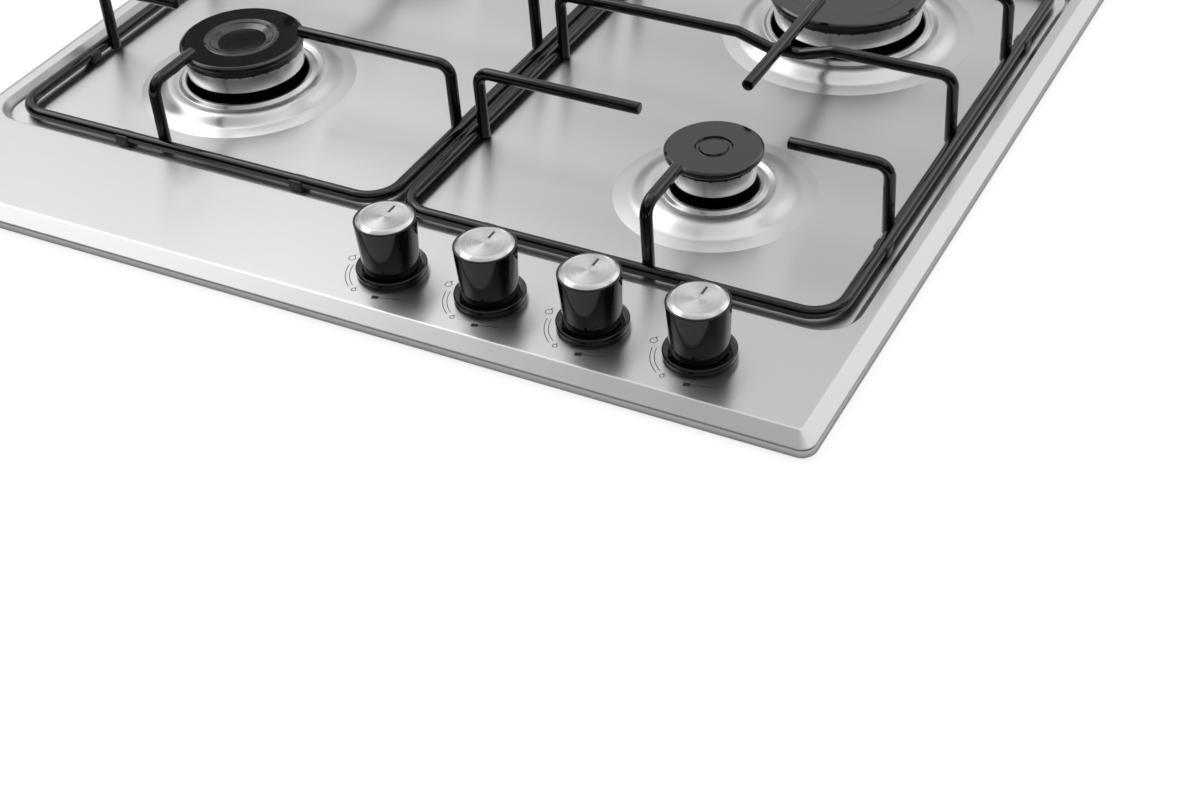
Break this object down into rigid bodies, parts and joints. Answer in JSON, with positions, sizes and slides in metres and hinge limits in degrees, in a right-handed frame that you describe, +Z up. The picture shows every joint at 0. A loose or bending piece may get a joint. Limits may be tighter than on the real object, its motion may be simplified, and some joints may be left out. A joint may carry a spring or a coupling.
{
  "type": "gas cooktop",
  "caption": "Built-in gas cooktop: pressed steel top on a shallow box, burners with caps, front knobs on gas valves and lift-off wire pan supports.",
  "frame": {"origin": "on the surface under the box, below the middle of the top", "axes": "+X to the right along the front edge, +Y from the front edge to the rear, +Z up"},
  "size_m": [0.58, 0.5, 0.097],
  "materials": {
    "brushed_top": "brushed",
    "zinc_steel": "zinc coated",
    "screw_steel": "zinc coated",
    "pin_steel": "satin",
    "pipe_steel": "satin",
    "rail_aluminium": "mill",
    "tube_aluminium": "mill",
    "valve_casting": "die cast",
    "cup_casting": "dark die cast",
    "ring_aluminium": "turned",
    "disc_aluminium": "spun",
    "fitting_brass": "turned",
    "spindle_brass": "turned",
    "cap_enamel": "black enamel",
    "wire_enamel": "gloss black enamel",
    "knob_black": "gloss black",
    "plug_ceramic": "white ceramic",
    "case_plastic": "moulded",
    "strip_plastic": "moulded",
    "foam": "closed foam",
    "foot_rubber": "moulded",
    "lead_rubber": "silicone"
  },
  "bodies": {
    "base": {"top_panel": "brushed_top", "under_box": "zinc_steel", "worktop_seal": "foam", "clamp_brackets": "zinc_steel", "side_screws": "screw_steel", "gas_rail": "rail_aluminium", "inlet_pipe": "pipe_steel", "inlet_fitting": "fitting_brass", "knob_bezels": "knob_black", "gas_jets": "fitting_brass", "burner_brackets": "zinc_steel", "burner_screws": "screw_steel", "valve_screws": "screw_steel", "spark_plugs": "plug_ceramic", "spark_pins": "pin_steel", "spark_generator": "case_plastic", "switch_strip": "strip_plastic", "cable_gland": "case_plastic", "ignition_leads": "lead_rubber", "valve_front_left": "valve_casting", "burner_cup_front_left": "cup_casting", "gas_tube_front_left": "tube_aluminium", "valve_rear_left": "valve_casting", "burner_cup_rear_left": "cup_casting", "gas_tube_rear_left": "tube_aluminium", "valve_rear_right": "valve_casting", "burner_cup_rear_right": "cup_casting", "gas_tube_rear_right": "tube_aluminium", "valve_front_right": "valve_casting", "burner_cup_front_right": "cup_casting", "gas_tube_front_right": "tube_aluminium"},
    "push_front_left": {"push_collar_front_left": "pin_steel"},
    "dial_front_left": {"knob_front_left": "knob_black", "knob_disc_front_left": "disc_aluminium", "spindle_front_left": "spindle_brass"},
    "ring_front_left": {"flame_ring_front_left": "ring_aluminium"},
    "cap_front_left": {"burner_cap_front_left": "cap_enamel"},
    "push_rear_left": {"push_collar_rear_left": "pin_steel"},
    "dial_rear_left": {"knob_rear_left": "knob_black", "knob_disc_rear_left": "disc_aluminium", "spindle_rear_left": "spindle_brass"},
    "ring_rear_left": {"flame_ring_rear_left": "ring_aluminium"},
    "cap_rear_left": {"burner_cap_rear_left": "cap_enamel"},
    "push_rear_right": {"push_collar_rear_right": "pin_steel"},
    "dial_rear_right": {"knob_rear_right": "knob_black", "knob_disc_rear_right": "disc_aluminium", "spindle_rear_right": "spindle_brass"},
    "ring_rear_right": {"flame_ring_rear_right": "ring_aluminium"},
    "cap_rear_right": {"burner_cap_rear_right": "cap_enamel"},
    "push_front_right": {"push_collar_front_right": "pin_steel"},
    "dial_front_right": {"knob_front_right": "knob_black", "knob_disc_front_right": "disc_aluminium", "spindle_front_right": "spindle_brass"},
    "ring_front_right": {"flame_ring_front_right": "ring_aluminium"},
    "cap_front_right": {"burner_cap_front_right": "cap_enamel"},
    "support_left": {"pan_support_left": "wire_enamel", "support_feet_left": "foot_rubber"},
    "support_right": {"pan_support_right": "wire_enamel", "support_feet_right": "foot_rubber"}
  },
  "joints": [
    {"name": "knob_push_front_left", "type": "slide", "parent": "base", "child": "push_front_left", "axis": [0, 0, -1], "range_m": [0, 0.003], "stiffness_N_per_m": 1500, "springref_m": -0.004},
    {"name": "knob_turn_front_left", "type": "hinge", "parent": "push_front_left", "child": "dial_front_left", "pos_m": [0.0353, -0.2095, 0.056], "axis": [0, 0, 1], "range_deg": [0, 155]},
    {"name": "knob_push_rear_left", "type": "slide", "parent": "base", "child": "push_rear_left", "axis": [0, 0, -1], "range_m": [0, 0.003], "stiffness_N_per_m": 1500, "springref_m": -0.004},
    {"name": "knob_turn_rear_left", "type": "hinge", "parent": "push_rear_left", "child": "dial_rear_left", "pos_m": [0.0948, -0.2095, 0.056], "axis": [0, 0, 1], "range_deg": [0, 155]},
    {"name": "knob_push_rear_right", "type": "slide", "parent": "base", "child": "push_rear_right", "axis": [0, 0, -1], "range_m": [0, 0.003], "stiffness_N_per_m": 1500, "springref_m": -0.004},
    {"name": "knob_turn_rear_right", "type": "hinge", "parent": "push_rear_right", "child": "dial_rear_right", "pos_m": [0.1543, -0.2095, 0.056], "axis": [0, 0, 1], "range_deg": [0, 155]},
    {"name": "knob_push_front_right", "type": "slide", "parent": "base", "child": "push_front_right", "axis": [0, 0, -1], "range_m": [0, 0.003], "stiffness_N_per_m": 1500, "springref_m": -0.004},
    {"name": "knob_turn_front_right", "type": "hinge", "parent": "push_front_right", "child": "dial_front_right", "pos_m": [0.2138, -0.2095, 0.056], "axis": [0, 0, 1], "range_deg": [0, 155]},
    {"name": "support_lift_left", "type": "slide", "parent": "base", "child": "support_left", "axis": [0, 0, 1], "range_m": [0, 0.16]},
    {"name": "support_lift_right", "type": "slide", "parent": "base", "child": "support_right", "axis": [0, 0, 1], "range_m": [0, 0.16]},
    {"name": "ring_lift_front_left", "type": "slide", "parent": "base", "child": "ring_front_left", "axis": [0, 0, 1], "range_m": [0, 0.05]},
    {"name": "cap_lift_front_left", "type": "slide", "parent": "ring_front_left", "child": "cap_front_left", "axis": [0, 0, 1], "range_m": [0, 0.05]},
    {"name": "ring_lift_rear_left", "type": "slide", "parent": "base", "child": "ring_rear_left", "axis": [0, 0, 1], "range_m": [0, 0.05]},
    {"name": "cap_lift_rear_left", "type": "slide", "parent": "ring_rear_left", "child": "cap_rear_left", "axis": [0, 0, 1], "range_m": [0, 0.05]},
    {"name": "ring_lift_rear_right", "type": "slide", "parent": "base", "child": "ring_rear_right", "axis": [0, 0, 1], "range_m": [0, 0.05]},
    {"name": "cap_lift_rear_right", "type": "slide", "parent": "ring_rear_right", "child": "cap_rear_right", "axis": [0, 0, 1], "range_m": [0, 0.05]},
    {"name": "ring_lift_front_right", "type": "slide", "parent": "base", "child": "ring_front_right", "axis": [0, 0, 1], "range_m": [0, 0.05]},
    {"name": "cap_lift_front_right", "type": "slide", "parent": "ring_front_right", "child": "cap_front_right", "axis": [0, 0, 1], "range_m": [0, 0.05]}
  ],
  "couplings": [
    {"joint": "ring_lift_rear_right", "follows": "support_lift_right", "ratio": 0.3},
    {"joint": "cap_lift_rear_right", "follows": "support_lift_right", "ratio": 0.3}
  ]
}
